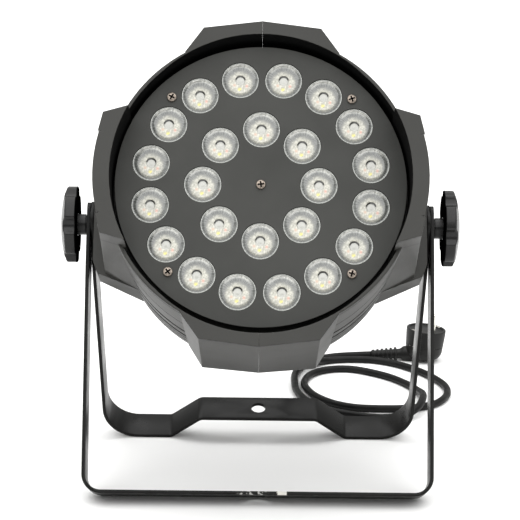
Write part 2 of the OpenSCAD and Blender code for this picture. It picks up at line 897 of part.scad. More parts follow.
// Angled plug standing on its back: round body, and a ribbed relief to the left
module mains_plug() {
    color([0.09, 0.09, 0.09]) at_plug() difference() {
        union() {
            translate([0, 0, 2]) rotate([0, plug_lean, 0]) rotate_extrude() polygon([
                [0, 0], [11, 0], [16, 3], [plug_base_r, 9], [plug_r, plug_h - 4],
                [plug_r, plug_h - 1], [plug_r - 1, plug_h], [plug_r - 3, plug_h],
                [plug_r - 3, plug_h - 1.4], [0, plug_h - 1.4]]);
            translate([relief_tip_x - plug_x, 0, relief_z]) rotate([0, 90, 0]) {
                rotate([0, -2.5, 0]) cylinder(r1 = 4.4, r2 = 6.2, h = 54);
                for (i = [0:5])
                    rotate([0, -2.5, 0]) translate([0, 0, 1 + i * 4.6])
                        cylinder(r = 5.3 + i * 0.36, h = 2.6);
            }
            translate([-14, 0, 9.4]) rotate([0, 90, 0])
                cylinder(r1 = 8.2, r2 = 9, h = 16, center = true);
        }
        translate([relief_tip_x - plug_x - 5, 0, relief_z - 20]) cube([5, 40, 40]);
        at_pins() translate([0, 0, -10]) cylinder(r = pin_r, h = 40);
        translate([0, 0, -10]) cube([200, 200, 20], center = true);
    }
}

module at_pins() {
    translate([0, 0, 2]) rotate([0, plug_lean, 0]) translate([0, 0, plug_h - 1.4])
        rotate(pin_turn)
            for (s = [-1, 1])
                translate([s * pin_gap / 2, 0, 0]) children();
}

module plug_pins() {
    color([0.75, 0.73, 0.68]) at_plug() at_pins() rotate_extrude() polygon([
        [0, -10], [pin_r, -10], [pin_r, pin_len - 1.4], [pin_r - 1.1, pin_len], [0, pin_len]]);
}

// ---------------------------------------------------------------- drawing

rear_yoke();
front_yoke();
housing_left();
housing_right();
housing_screws();
face_plate();
face_screws();
led_board();
led_emitters();
for (i = [0:OUTER_COUNT - 1])
    lens_at(outer_ring_r, outer_angles[i]);
for (i = [0:INNER_COUNT - 1])
    lens_at(inner_ring_r, inner_angles[i]);
heat_sink();
fan_frame();
fan_rotor();
power_supply();
rear_cover();
rear_screws();
display_window();
button_mode();
button_down();
button_up();
button_enter();
dmx_in();
dmx_out();
fuse_holder();
fuse_cap();
cable_gland();
safety_eye();
pivot_inserts();
left_washer();
right_washer();
left_knob();
right_knob();
left_stud();
right_stud();
power_cord();
mains_plug();
plug_pins();
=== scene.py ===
import math
import bpy
import bmesh
from mathutils import Matrix, Vector


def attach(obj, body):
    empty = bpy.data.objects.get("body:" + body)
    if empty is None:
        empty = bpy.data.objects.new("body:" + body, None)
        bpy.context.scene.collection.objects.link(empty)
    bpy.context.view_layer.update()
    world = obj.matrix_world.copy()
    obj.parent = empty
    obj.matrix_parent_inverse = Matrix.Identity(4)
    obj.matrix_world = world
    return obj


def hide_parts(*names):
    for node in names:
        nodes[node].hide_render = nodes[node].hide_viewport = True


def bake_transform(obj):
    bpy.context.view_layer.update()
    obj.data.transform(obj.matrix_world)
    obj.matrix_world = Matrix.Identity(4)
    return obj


MM = 0.001
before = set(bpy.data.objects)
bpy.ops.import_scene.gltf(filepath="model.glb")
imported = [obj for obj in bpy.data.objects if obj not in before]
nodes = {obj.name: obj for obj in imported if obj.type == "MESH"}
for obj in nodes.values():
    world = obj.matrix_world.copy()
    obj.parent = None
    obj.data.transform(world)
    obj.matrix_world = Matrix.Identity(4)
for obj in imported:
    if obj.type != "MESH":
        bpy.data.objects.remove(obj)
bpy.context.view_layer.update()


COLLECTION = bpy.context.scene.collection

# ---------------------------------------------------------------- places

HEAD_TILT = 28.4
PIVOT_Y = 0.0425581
PIVOT_Z = 0.2159446
HEAD = Matrix.Translation((0, PIVOT_Y, PIVOT_Z)) @ Matrix.Rotation(math.radians(90 - HEAD_TILT), 4, "X")


LENS_R = 15.0
LAMP_Z = 107.0
PLATE_Z = 126.0
SCREW_RING_R = 103.1


def in_head(x, y, z):
    return HEAD @ Matrix.Translation((x * MM, y * MM, z * MM))


# ---------------------------------------------------------------- camera


def make_camera():
    data = bpy.data.cameras.new("camera")
    data.sensor_width = 36
    data.lens = 138.3
    camera = bpy.data.objects.new("camera", data)
    camera.matrix_world = (Matrix.Translation((0, -1.6353, 0.6045))
                           @ Matrix.Rotation(math.radians(76), 4, "X")
                           @ Matrix.Rotation(math.radians(0.65), 4, "Z"))
    COLLECTION.objects.link(camera)
    bpy.context.scene.camera = camera


make_camera()

# ---------------------------------------------------------------- meshes


def link(name, mesh, place=None):
    obj = bpy.data.objects.new(name, mesh)
    COLLECTION.objects.link(obj)
    if place is not None:
        obj.matrix_world = place
    return obj


def mesh_of(name, points, faces, smooth=True):
    mesh = bpy.data.meshes.new(name)
    mesh.from_pydata([tuple(p) for p in points], [], faces)
    tidy = bmesh.new()
    tidy.from_mesh(mesh)
    bmesh.ops.recalc_face_normals(tidy, faces=tidy.faces)
    tidy.to_mesh(mesh)
    tidy.free()
    for face in mesh.polygons:
        face.use_smooth = smooth
    return mesh


def lathe(name, profile, sides=64):
    """Solid of revolution round Z; the profile's points are (radius, height) in mm."""
    points, faces, rings = [], [], []
    for r, z in profile:
        first = len(points)
        if r < 1e-6:
            points.append((0, 0, z * MM))
            rings.append([first] * sides)
        else:
            for k in range(sides):
                a = 2 * math.pi * k / sides
                points.append((r * MM * math.cos(a), r * MM * math.sin(a), z * MM))
            rings.append(list(range(first, first + sides)))
    for low, high in zip(rings, rings[1:]):
        for k in range(sides):
            n = (k + 1) % sides
            quad = [low[k], low[n], high[n], high[k]]
            face = [v for i, v in enumerate(quad) if v not in quad[:i]]
            if len(face) > 2:
                faces.append(face)
    return mesh_of(name, points, faces)


def edge_round(centre_r, centre_z, r, start, end, steps=5):
    """Quarter turn of a rounded edge, as profile points."""
    turns = [math.radians(start + (end - start) * i / steps) for i in range(steps + 1)]
    return [(centre_r + r * math.cos(a), centre_z + r * math.sin(a)) for a in turns]


def bands(rows, sides):
    """Quads between rows of points that each run once round a shape."""
    return [[i * sides + k, i * sides + (k + 1) % sides,
             (i + 1) * sides + (k + 1) % sides, (i + 1) * sides + k]
            for i in range(rows - 1) for k in range(sides)]


def tube(name, path, radius, sides=16):
    """Closed tube along points in metres."""
    points = []
    last = len(path) - 1
    for i, p in enumerate(path):
        heading = (path[min(i + 1, last)] - path[max(i - 1, 0)]).normalized()
        aside = heading.cross(Vector((0, 0, 1))).normalized()
        over = aside.cross(heading)
        for k in range(sides):
            a = 2 * math.pi * k / sides
            points.append(p + radius * (math.cos(a) * aside + math.sin(a) * over))
    faces = bands(len(path), sides)
    faces.append(list(range(sides))[::-1])
    faces.append([last * sides + k for k in range(sides)])
    return mesh_of(name, points, faces)


def joined(name, parts):
    """One mesh from (mesh, place) pairs."""
    whole = bmesh.new()
    for mesh, place in parts:
        piece = mesh.copy()
        piece.transform(place)
        whole.from_mesh(piece)
        bpy.data.meshes.remove(piece)
    mesh = bpy.data.meshes.new(name)
    whole.to_mesh(mesh)
    whole.free()
    for face in mesh.polygons:
        face.use_smooth = True
    return mesh


def sharp_by_angle(mesh, degrees):
    mesh.set_sharp_from_angle(angle=math.radians(degrees))


# ---------------------------------------------------------------- materials


class Shader:
    """Small helper that adds nodes to a new material and joins them up."""

    def __init__(self, name):
        self.material = bpy.data.materials.new(name)
        self.material.use_nodes = True
        self.tree = self.material.node_tree
        self.surface = self.tree.nodes["Principled BSDF"]
        self.place = self.add("ShaderNodeTexCoord").outputs["Object"]

    def add(self, kind, **inputs):
        node = self.tree.nodes.new(kind)
        for key, value in inputs.items():
            self.put(node.inputs[key.replace("_", " ")], value)
        return node

    def put(self, socket, value):
        if isinstance(value, bpy.types.NodeSocket):
            self.tree.links.new(value, socket)
        else:
            socket.default_value = value

    def noise(self, scale, detail=3.0, place=None, rough=0.5):
        node = self.add("ShaderNodeTexNoise", Scale=scale, Detail=detail, Roughness=rough)
        self.put(node.inputs["Vector"], place or self.place)
        return node.outputs["Fac"]

    def math(self, operation, a, b=0.0):
        node = self.tree.nodes.new("ShaderNodeMath")
        node.operation = operation
        self.put(node.inputs[0], a)
        self.put(node.inputs[1], b)
        return node.outputs[0]

    def vector(self, operation, a, b=None, out="Vector"):
        node = self.tree.nodes.new("ShaderNodeVectorMath")
        node.operation = operation
        self.put(node.inputs[0], a)
        if b is not None:
            self.put(node.inputs["Scale" if operation == "SCALE" else 1], b)
        return node.outputs[out]

    def axes(self):
        """The three coordinates of the shaded point, as separate values."""
        node = self.add("ShaderNodeSeparateXYZ")
        self.put(node.inputs[0], self.place)
        return tuple(node.outputs)

    def length(self, x, y):
        return self.math("SQRT", self.math("ADD", self.math("POWER", x, 2.0), self.math("POWER", y, 2.0)))

    def step(self, value, low, high, to_low=0.0, to_high=1.0):
        """Smooth map of a value from low..high."""
        node = self.add("ShaderNodeMapRange")
        node.interpolation_type = "SMOOTHSTEP"
        for i, v in enumerate((value, low, high, to_low, to_high)):
            self.put(node.inputs[i], v)
        return node.outputs[0]

    def blend(self, amount, a, b):
        node = self.tree.nodes.new("ShaderNodeMix")
        node.data_type = "RGBA"
        self.put(node.inputs[0], amount)
        for socket, value in ((node.inputs[6], a), (node.inputs[7], b)):
            self.put(socket, value if isinstance(value, bpy.types.NodeSocket) else (*value, 1.0))
        return node.outputs[2]

    def bump(self, height, strength, distance, normal=None):
        node = self.add("ShaderNodeBump", Strength=strength, Distance=distance)
        self.put(node.inputs["Height"], height)
        if normal is not None:
            self.put(node.inputs["Normal"], normal)
        return node.outputs["Normal"]

    def soft_edges(self, radius):
        node = self.add("ShaderNodeBevel", Radius=radius)
        node.samples = 4
        return node.outputs[0]

    def edge(self, rounded, low, high):
        """One on the edges of the shape and zero on its faces."""
        flat = self.add("ShaderNodeNewGeometry").outputs["Normal"]
        return self.step(self.vector("DOT_PRODUCT", rounded, flat, "Value"), high, low)

    def finish(self, **sockets):
        for key, value in sockets.items():
            self.put(self.surface.inputs[key.replace("_", " ")], value)
        return self.material


def painted(name, dark, light, rough, grain, relief, edge, worn=None, shine=0.2):
    """Paint or plastic: cloudy tone, fine grain in the surface, softened and slightly worn edges."""
    s = Shader(name)
    cloud = s.noise(14.0, 4.0)
    fine = s.noise(grain, 2.0)
    tone = s.blend(s.step(cloud, 0.3, 0.7), dark, light)
    tone = s.blend(s.step(s.noise(grain * 0.5), 0.62, 0.8, 0.0, 0.35), tone, light)
    gloss = s.math("ADD", s.step(s.noise(33.0, 5.0), 0.3, 0.7, rough - 0.05, rough + 0.07),
                   s.step(fine, 0.4, 0.8, 0.0, 0.04))
    rounded = s.soft_edges(edge)
    if worn is not None:
        rubbed = s.math("MULTIPLY", s.edge(rounded, 0.86, 0.97), s.step(s.noise(210.0, 4.0), 0.5, 0.66))
        tone = s.blend(s.math("MULTIPLY", rubbed, 0.8), tone, worn)
    normal = s.bump(fine, relief, 0.0001, rounded)
    return s.finish(Base_Color=tone, Roughness=gloss, Normal=normal, Metallic=0.0,
                    Specular_IOR_Level=shine)


def can_material():
    """Satin dark grey can: black paint inside its face recess, deepened to near black and matt there as
    painted shade, thin dark joint lines behind its front edges.
    """
    s = Shader("can_paint")
    axis = HEAD.to_3x3() @ Vector((0, 0, 1))
    from_pivot = s.vector("SUBTRACT", s.place, HEAD.translation)
    depth = s.vector("DOT_PRODUCT", from_pivot, axis, "Value")
    outward = s.vector("SUBTRACT", from_pivot, s.vector("SCALE", axis, depth))
    facing = s.vector("DOT_PRODUCT", s.vector("NORMALIZE", outward),
                      s.add("ShaderNodeTexCoord").outputs["Normal"], "Value")
    # painted shade: inside the face recess the black paint is made near black and matt, darker than the
    # paint alone
    inside = s.math("MULTIPLY", s.step(facing, -0.25, -0.4), s.step(depth, 0.09, 0.1))
    outside = s.step(facing, 0.2, 0.3)

    def line(at, half):
        return s.math("MULTIPLY", s.step(depth, at - half, at - half * 0.7),
                      s.step(depth, at + half, at + half * 0.7))

    rear_line, front_line = line(0.1352, 0.0019), line(0.1558, 0.0014)
    joints = s.math("MULTIPLY", s.math("ADD", rear_line, front_line), outside)
    fine = s.noise(1700.0, 2.0)
    tone = s.blend(s.step(s.noise(12.0, 4.0), 0.3, 0.7), (0.0265, 0.0263, 0.024), (0.0305, 0.0303, 0.0278))
    tone = s.blend(s.step(s.noise(850.0), 0.62, 0.8, 0.0, 0.3), tone, (0.045, 0.045, 0.041))
    rounded = s.soft_edges(0.0009)
    rubbed = s.math("MULTIPLY", s.edge(rounded, 0.86, 0.97), s.step(s.noise(190.0, 4.0), 0.52, 0.68))
    tone = s.blend(s.math("MULTIPLY", rubbed, 0.6), tone, (0.13, 0.125, 0.115))
    # near black on the joint lines, and in the recess as black paint deepened by painted shade
    tone = s.blend(s.math("MAXIMUM", inside, joints), tone, (0.0035, 0.0035, 0.0035))
    gloss = s.math("ADD", s.step(s.noise(20.0, 3.0), 0.3, 0.7, 0.38, 0.41), s.math("MULTIPLY", inside, 0.3))
    return s.finish(Base_Color=tone, Roughness=gloss, Normal=s.bump(fine, 0.35, 0.0001, rounded),
                    Metallic=0.0, Specular_IOR_Level=s.step(inside, 0.0, 1.0, 0.2, 0.05))


def knob_material():
    """Semi-gloss black plastic; its hidden back face, turned to the can, is painted darker and matt as
    painted shade.
    """
    s = Shader("knob_plastic")
    x, y, z = s.axes()
    reach = s.length(x, y)
    # painted shade: the back face, turned to the can, is made darker and matt, without reflection
    back = s.math("MULTIPLY", s.step(z, 0.0012, 0.0003), s.step(reach, 0.0092, 0.0098))
    tone = s.blend(s.step(s.noise(18.0, 4.0), 0.3, 0.7), (0.0045, 0.0045, 0.0045), (0.0085, 0.0085, 0.0082))
    tone = s.blend(back, tone, (0.002, 0.002, 0.002))
    fine = s.noise(1400.0, 2.0)
    gloss = s.math("ADD", s.step(s.noise(40.0, 4.0), 0.3, 0.7, 0.2, 0.32), s.math("MULTIPLY", back, 0.65))
    return s.finish(Base_Color=tone, Roughness=gloss, Normal=s.bump(fine, 0.2, 0.0001, s.soft_edges(0.0005)),
                    Metallic=0.0, Specular_IOR_Level=s.step(back, 0.0, 1.0, 0.28, 0.0))


def metal(name, dark, light, rough, edge=0.0, streak=220.0):
    """Bare or plated metal with fine turning marks and a little tarnish."""
    s = Shader(name)
    tone = s.blend(s.step(s.noise(90.0, 5.0), 0.35, 0.7), dark, light)
    tone = s.blend(s.step(s.noise(700.0, 3.0), 0.58, 0.75, 0.0, 0.5), tone, dark)
    gloss = s.step(s.noise(streak, 4.0), 0.3, 0.7, rough - 0.06, rough + 0.12)
    rounded = s.soft_edges(edge) if edge else None
    return s.finish(Base_Color=tone, Roughness=gloss, Metallic=1.0,
                    Normal=s.bump(s.noise(streak * 6, 2.0), 0.12, 0.0001, rounded))


def lens_material():
    """Clear collimator seen from the front: bright rim and a lighter arc at the top as painted highlight,
    ribbed grey band, cream middle glow, painted shadow in the top of the centre well, colour specks.
    """
    s = Shader("lens_clear")
    x, y, _ = s.axes()
    flat = s.add("ShaderNodeCombineXYZ", X=x, Y=y)
    radius = s.length(x, y)
    share = s.math("DIVIDE", radius, LENS_R * MM)
    streaks = s.noise(15.0, 3.0, s.vector("NORMALIZE", flat.outputs[0]), 0.6)
    mottled = s.noise(620.0, 2.0)
    # the inner glow sits towards the lower edge
    glow_r = s.math("DIVIDE", s.length(x, s.math("ADD", y, 0.0026)), LENS_R * MM)
    ragged = s.math("ADD", glow_r, s.step(streaks, 0.3, 0.7, -0.08, 0.08))
    band = s.blend(s.step(streaks, 0.35, 0.65), (0.045, 0.048, 0.046), (0.15, 0.155, 0.145))
    glow = s.blend(s.step(mottled, 0.35, 0.7), (0.27, 0.265, 0.225), (0.46, 0.45, 0.385))
    tone = s.blend(s.step(ragged, 0.76, 0.5), band, glow)
    up = s.math("DIVIDE", y, radius)
    # painted highlight: a lighter arc across the top of the outer band
    top_highlight = s.math("MULTIPLY", s.math("MULTIPLY", s.step(share, 0.7, 0.86), s.step(share, 0.945, 0.93)),
                 s.step(up, 0.35, 0.85))
    tone = s.blend(s.math("MULTIPLY", top_highlight, s.step(mottled, 0.4, 0.6, 0.45, 1.0)), tone, (0.42, 0.42, 0.39))
    # painted shadow: a dark crescent under the top edge of the centre well
    well_shadow = s.math("MULTIPLY", s.math("MULTIPLY", s.step(share, 0.3, 0.285), s.step(share, 0.2, 0.225)),
                      s.step(up, 0.0, 0.4))
    tone = s.blend(s.step(share, 0.29, 0.26), tone, (0.36, 0.36, 0.33))
    tone = s.blend(s.math("MULTIPLY", well_shadow, 0.93), tone, (0.012, 0.013, 0.012))

    def speck(base, at_x, at_y, size, colour, amount):
        far = s.length(s.math("SUBTRACT", x, at_x), s.math("SUBTRACT", y, at_y))
        broken = s.math("MULTIPLY", s.step(far, size, size * 0.3), s.step(mottled, 0.38, 0.6, 0.35, 1.0))
        return s.blend(s.math("MULTIPLY", broken, amount), base, colour)

    tone = speck(tone, -0.0006, -0.0073, 0.0022, (0.6, 0.52, 0.07), 0.85)
    tone = speck(tone, 0.0052, -0.0047, 0.0019, (0.5, 0.15, 0.1), 0.55)
    tone = speck(tone, -0.0048, -0.0041, 0.0018, (0.52, 0.24, 0.14), 0.45)
    # painted highlight: a thin bright ring round the lens rim
    rim = s.math("MULTIPLY", s.step(share, 0.945, 0.965), s.step(streaks, 0.3, 0.6, 0.55, 1.0))
    tone = s.blend(rim, tone, (0.5, 0.51, 0.48))
    height = s.math("ADD", s.math("MULTIPLY", streaks, 0.8), s.math("MULTIPLY", mottled, 0.5))
    return s.finish(Base_Color=tone, Roughness=s.step(mottled, 0.3, 0.7, 0.12, 0.3),
                    Normal=s.bump(height, 0.35, 0.0002), Specular_IOR_Level=0.5,
                    Coat_Weight=0.7, Coat_Roughness=0.04, Coat_IOR=1.49)


def window_material():
    s = Shader("window_tint")
    tone = s.blend(s.step(s.noise(60.0, 4.0), 0.3, 0.7), (0.012, 0.014, 0.018), (0.03, 0.034, 0.04))
    return s.finish(Base_Color=tone, Roughness=s.step(s.noise(300.0, 3.0), 0.3, 0.7, 0.08, 0.2),
                    Normal=s.bump(s.noise(500.0), 0.05, 0.0001), Coat_Weight=0.8, Coat_Roughness=0.05)


def chipped_yoke_material():
    """The yoke's paint, with a bare chip and a run of scuffs on the front edge of its bar."""
    s = Shader("yoke_paint_chipped")
    bar_front, chip_x, scuff_x = -0.068, 0.0212, -0.0036
    x, y, _ = s.axes()
    tone = s.blend(s.step(s.noise(14.0, 4.0), 0.3, 0.7), (0.004, 0.004, 0.0037), (0.0075, 0.0075, 0.007))
    fine = s.noise(1500.0, 2.0)
    ragged = s.noise(260.0, 4.0)
    rounded = s.soft_edges(0.0006)
    rubbed = s.math("MULTIPLY", s.edge(rounded, 0.86, 0.97), s.step(s.noise(210.0, 4.0), 0.5, 0.66))
    tone = s.blend(s.math("MULTIPLY", rubbed, 0.8), tone, (0.1, 0.098, 0.09))
    front = s.step(y, bar_front + 0.0008, bar_front)
    from_chip = s.math("ADD", s.math("ABSOLUTE", s.math("SUBTRACT", x, chip_x)),
                       s.step(ragged, 0.3, 0.7, -0.0012, 0.0012))
    chip = s.math("MULTIPLY", s.step(from_chip, 0.0047, 0.0041), front)
    from_scuff = s.math("ABSOLUTE", s.math("SUBTRACT", x, scuff_x))
    scuff = s.math("MULTIPLY", s.math("MULTIPLY", s.step(from_scuff, 0.015, 0.009), front),
                   s.step(s.noise(420.0, 4.0), 0.53, 0.62))
    tone = s.blend(s.math("MULTIPLY", scuff, 0.8), tone, (0.36, 0.355, 0.34))
    tone = s.blend(chip, tone, (0.53, 0.52, 0.48))
    gloss = s.math("ADD", s.step(s.noise(33.0, 5.0), 0.3, 0.7, 0.25, 0.37), s.math("MULTIPLY", chip, 0.3))
    return s.finish(Base_Color=tone, Roughness=gloss, Normal=s.bump(fine, 0.3, 0.0001, rounded),
                    Metallic=0.0, Specular_IOR_Level=0.14)


def cord_material():
    """Soft black sheath with a little dust and fine drag marks."""
    s = Shader("cord_rubber")
    tone = s.blend(s.step(s.noise(60.0, 4.0), 0.35, 0.7), (0.004, 0.004, 0.004), (0.009, 0.009, 0.0085))
    tone = s.blend(s.step(s.noise(420.0, 4.0), 0.6, 0.74, 0.0, 0.3), tone, (0.02, 0.0195, 0.018))
    return s.finish(Base_Color=tone, Roughness=s.step(s.noise(120.0, 4.0), 0.3, 0.7, 0.38, 0.55),
                    Specular_IOR_Level=0.15, Normal=s.bump(s.noise(1500.0, 2.0), 0.2, 0.0001))


FINISHES = {
    "yoke_paint": painted("yoke_paint", (0.004, 0.004, 0.0037), (0.0075, 0.0075, 0.007), 0.3, 1500.0, 0.3,
                          0.0006, (0.1, 0.098, 0.09), shine=0.14),
    "yoke_paint_chipped": chipped_yoke_material(),
    "can_paint": can_material(),
    "cover_paint": painted("cover_paint", (0.03, 0.03, 0.0275), (0.04, 0.04, 0.037), 0.44, 1700.0, 0.4,
                           0.0006, (0.1, 0.098, 0.09)),
    "plate_paint": painted("plate_paint", (0.03, 0.0305, 0.028), (0.036, 0.0365, 0.0335), 0.52, 1900.0, 0.3,
                           0.0004),
    "screw_steel": metal("screw_steel", (0.35, 0.34, 0.33), (0.62, 0.61, 0.59), 0.3, 0.0003),
    "black_steel": metal("black_steel", (0.012, 0.012, 0.012), (0.03, 0.03, 0.029), 0.42, 0.0002),
    "face_screw_nickel": metal("face_screw_nickel", (0.4, 0.31, 0.25), (0.72, 0.6, 0.5), 0.32, 0.0003),
    "board_white": painted("board_white", (0.62, 0.62, 0.58), (0.78, 0.78, 0.74), 0.4, 900.0, 0.15, 0.0002),
    "emitter_yellow": painted("emitter_yellow", (0.85, 0.66, 0.1), (0.95, 0.82, 0.22), 0.35, 2400.0, 0.2,
                              0.0002),
    "lens_clear": lens_material(),
    "bare_aluminium": metal("bare_aluminium", (0.6, 0.6, 0.6), (0.82, 0.82, 0.82), 0.34, 0.0003, 160.0),
    "fan_plastic": painted("fan_plastic", (0.014, 0.014, 0.015), (0.024, 0.024, 0.025), 0.45, 1300.0, 0.2,
                           0.0004),
    "window_tint": window_material(),
    "button_rubber": painted("button_rubber", (0.03, 0.03, 0.03), (0.045, 0.045, 0.044), 0.6, 1800.0, 0.3,
                             0.0004),
    "socket_plastic": painted("socket_plastic", (0.012, 0.012, 0.012), (0.02, 0.02, 0.02), 0.34, 1500.0,
                              0.15, 0.0004),
    "eye_steel": metal("eye_steel", (0.3, 0.3, 0.29), (0.5, 0.5, 0.48), 0.34),
    "insert_brass": metal("insert_brass", (0.5, 0.36, 0.14), (0.78, 0.6, 0.28), 0.3, 0.0003),
    "knob_plastic": knob_material(),
    "cord_rubber": cord_material(),
    "plug_rubber": painted("plug_rubber", (0.006, 0.006, 0.006), (0.011, 0.011, 0.0105), 0.42, 1200.0, 0.25,
                           0.0005),
    "pin_nickel": metal("pin_nickel", (0.62, 0.6, 0.54), (0.9, 0.88, 0.82), 0.22, 0.0003, 300.0),
}

SLOTS = {
    "yoke_paint": ["rear_yoke", "front_yoke"],
    "can_paint": ["housing_left", "housing_right"],
    "cover_paint": ["rear_cover"],
    "plate_paint": ["face_plate"],
    "screw_steel": ["housing_screws", "rear_screws", "left_stud", "right_stud"],
    "black_steel": ["left_washer", "right_washer"],
    "face_screw_nickel": ["face_screws"],
    "board_white": ["led_board", "power_supply"],
    "emitter_yellow": ["led_emitters"],
    "bare_aluminium": ["heat_sink"],
    "fan_plastic": ["fan_frame", "fan_rotor"],
    "window_tint": ["display_window"],
    "button_rubber": ["button_mode", "button_down", "button_up", "button_enter"],
    "socket_plastic": ["dmx_in", "dmx_out", "fuse_holder", "fuse_cap", "cable_gland"],
    "eye_steel": ["safety_eye"],
    "insert_brass": ["pivot_inserts"],
    "knob_plastic": ["left_knob", "right_knob"],
    "cord_rubber": ["power_cord"],
    "plug_rubber": ["mains_plug"],
    "pin_nickel": ["plug_pins"],
}


def paint(obj, name):
    obj.data.materials.clear()
    obj.data.materials.append(FINISHES[name])
    return obj


def piece(obj, slot, body, *replaced):
    """Finishes a piece: paint, the body it rides on, and the CAD nodes it stands for."""
    paint(obj, slot)
    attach(obj, body)
    if replaced:
        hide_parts(*replaced)
    return obj


for slot_name, members in SLOTS.items():
    for member in members:
        paint(nodes[member], slot_name)
for node_name in nodes:
    if node_name.startswith("lens_"):
        paint(nodes[node_name], "lens_clear")

# ---------------------------------------------------------------- bevelled copies


def bevelled(node, slot, body, width, angle=38, segments=3):
    """A copy of a CAD node with its flat faces whole again and its edges rounded."""
    mesh = nodes[node].data.copy()
    mesh.name = node + "_rounded"
    work = bmesh.new()
    work.from_mesh(mesh)
    bmesh.ops.remove_doubles(work, verts=work.verts, dist=2e-6)
    bmesh.ops.dissolve_limit(work, angle_limit=math.radians(0.4), verts=work.verts, edges=work.edges)
    bmesh.ops.recalc_face_normals(work, faces=work.faces)
    work.to_mesh(mesh)
    work.free()
    if mesh.has_custom_normals:
        mesh.normals_split_custom_set([(0, 0, 0)] * len(mesh.loops))
    for face in mesh.polygons:
        face.use_smooth = True
    obj = link(node + "_body", mesh)
    bevel = obj.modifiers.new("edges", "BEVEL")
    bevel.width = width
    bevel.segments = segments
    bevel.limit_method = "ANGLE"
    bevel.angle_limit = math.radians(angle)
    bevel.harden_normals = True
    bevel.use_clamp_overlap = True
    return piece(obj, slot, body, node)


def crisp(node, slot, body, angle):
    """A copy of a CAD node with whole flat faces and clean edges, its corners softened by its paint."""
    source = nodes[node].data
    work = bmesh.new()
    work.from_mesh(source)
    bmesh.ops.remove_doubles(work, verts=work.verts, dist=2e-6)
    bmesh.ops.dissolve_limit(work, angle_limit=math.radians(0.3), verts=work.verts, edges=work.edges)
    bmesh.ops.recalc_face_normals(work, faces=work.faces)
    bmesh.ops.triangulate(work, faces=work.faces)
    mesh = bpy.data.meshes.new(node + "_crisp")
    work.to_mesh(mesh)
    work.free()
    if mesh.has_custom_normals:
        mesh.attributes.remove(mesh.attributes["custom_normal"])
    for face in mesh.polygons:
        face.use_smooth = True
    sharp_by_angle(mesh, angle)
    return piece(link(node + "_shell", mesh), slot, body, node)


crisp("housing_left", "can_paint", "head", 11)
crisp("housing_right", "can_paint", "head", 11)
front = bevelled("front_yoke", "yoke_paint", "front_yoke", 0.0007)
paint(front, "yoke_paint_chipped")
bevelled("rear_yoke", "yoke_paint", "rear_yoke", 0.0007)

# ---------------------------------------------------------------- lenses

def lens_mesh():
    """Front disc with a rounded rim, a stepped centre well and the body behind it."""
    front, back = PLATE_Z - 0.8, PLATE_Z - 2
    return lathe("lens_shape", [
        (0, LAMP_Z + 3), (4.2, LAMP_Z + 3), (4.2, LAMP_Z), (6.2, LAMP_Z), (9.6, 111.6), (12.6, 116.4),
        (LENS_R, back - 2.5), (16.2, back - 2), (16.2, back), (LENS_R, back), (LENS_R, front - 0.5),
        *edge_round(LENS_R - 0.5, front - 0.5, 0.5, 20, 90, 3),
        (LENS_R - 1.1, front - 0.02), (LENS_R - 1.2, front - 0.25), (LENS_R - 1.7, front - 0.25),
        (LENS_R - 1.8, front - 0.02), (10, front - 0.02), (6, front - 0.02), (4.3, front - 0.02),
        (4.0, front - 0.2), (3.5, front - 1.2), (3.3, front - 1.3),
        (2.2, front - 1.2), (1.1, front - 1.0), (0, front - 0.9)], 56)


LENS = lens_mesh()


def place_lenses(ring, count, radius, shift):
    for i in range(count):
        a = (i + shift) * 2 * math.pi / count
        node = "lens_%s_%02d" % (ring, i + 1)
        obj = link(node + "_clear", LENS, in_head(radius * math.cos(a), radius * math.sin(a), 0))
        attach(obj, "head")
        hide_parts(node)


LENS.materials.append(FINISHES["lens_clear"])
place_lenses("outer", 16, 90.0, 0.5)
place_lenses("inner", 8, 46.6, 0.0)

# ---------------------------------------------------------------- cross-head screws


def cross_head_mesh():
    """Pan head along Z with a cross recess pressed into it, seat at z = 0."""
    points = []
    sides, rings = 96, 22
    high, wide = 2.3, 3.85

    def height(r):
        return high - 0.75 * (r / wide) ** 2.6

    for i in range(rings + 1):
        share = i / rings
        r = wide * share
        for k in range(sides):
            a = 2 * math.pi * k / sides
            x, y = r * math.cos(a), r * math.sin(a)
            z = height(r) if share < 1 else height(r) - 0.3
            arm = min(abs(x), abs(y))
            if r < 2.7 and arm < 0.62:
                z -= 1.1 * min(1.0, (0.62 - arm) / 0.2) * min(1.0, (2.7 - r) / 0.5)
            points.append((x * MM, y * MM, z * MM))
    for k in range(sides):
        a = 2 * math.pi * k / sides
        points.append((wide * MM * math.cos(a), wide * MM * math.sin(a), 0.02 * MM))
    mesh = mesh_of("cross_head", points, bands(rings + 2, sides))
    tidy = bmesh.new()
    tidy.from_mesh(mesh)
    bmesh.ops.remove_doubles(tidy, verts=tidy.verts, dist=1e-7)
    bmesh.ops.recalc_face_normals(tidy, faces=tidy.faces)
    tidy.to_mesh(mesh)
    tidy.free()
    sharp_by_angle(mesh, 50)
    return mesh


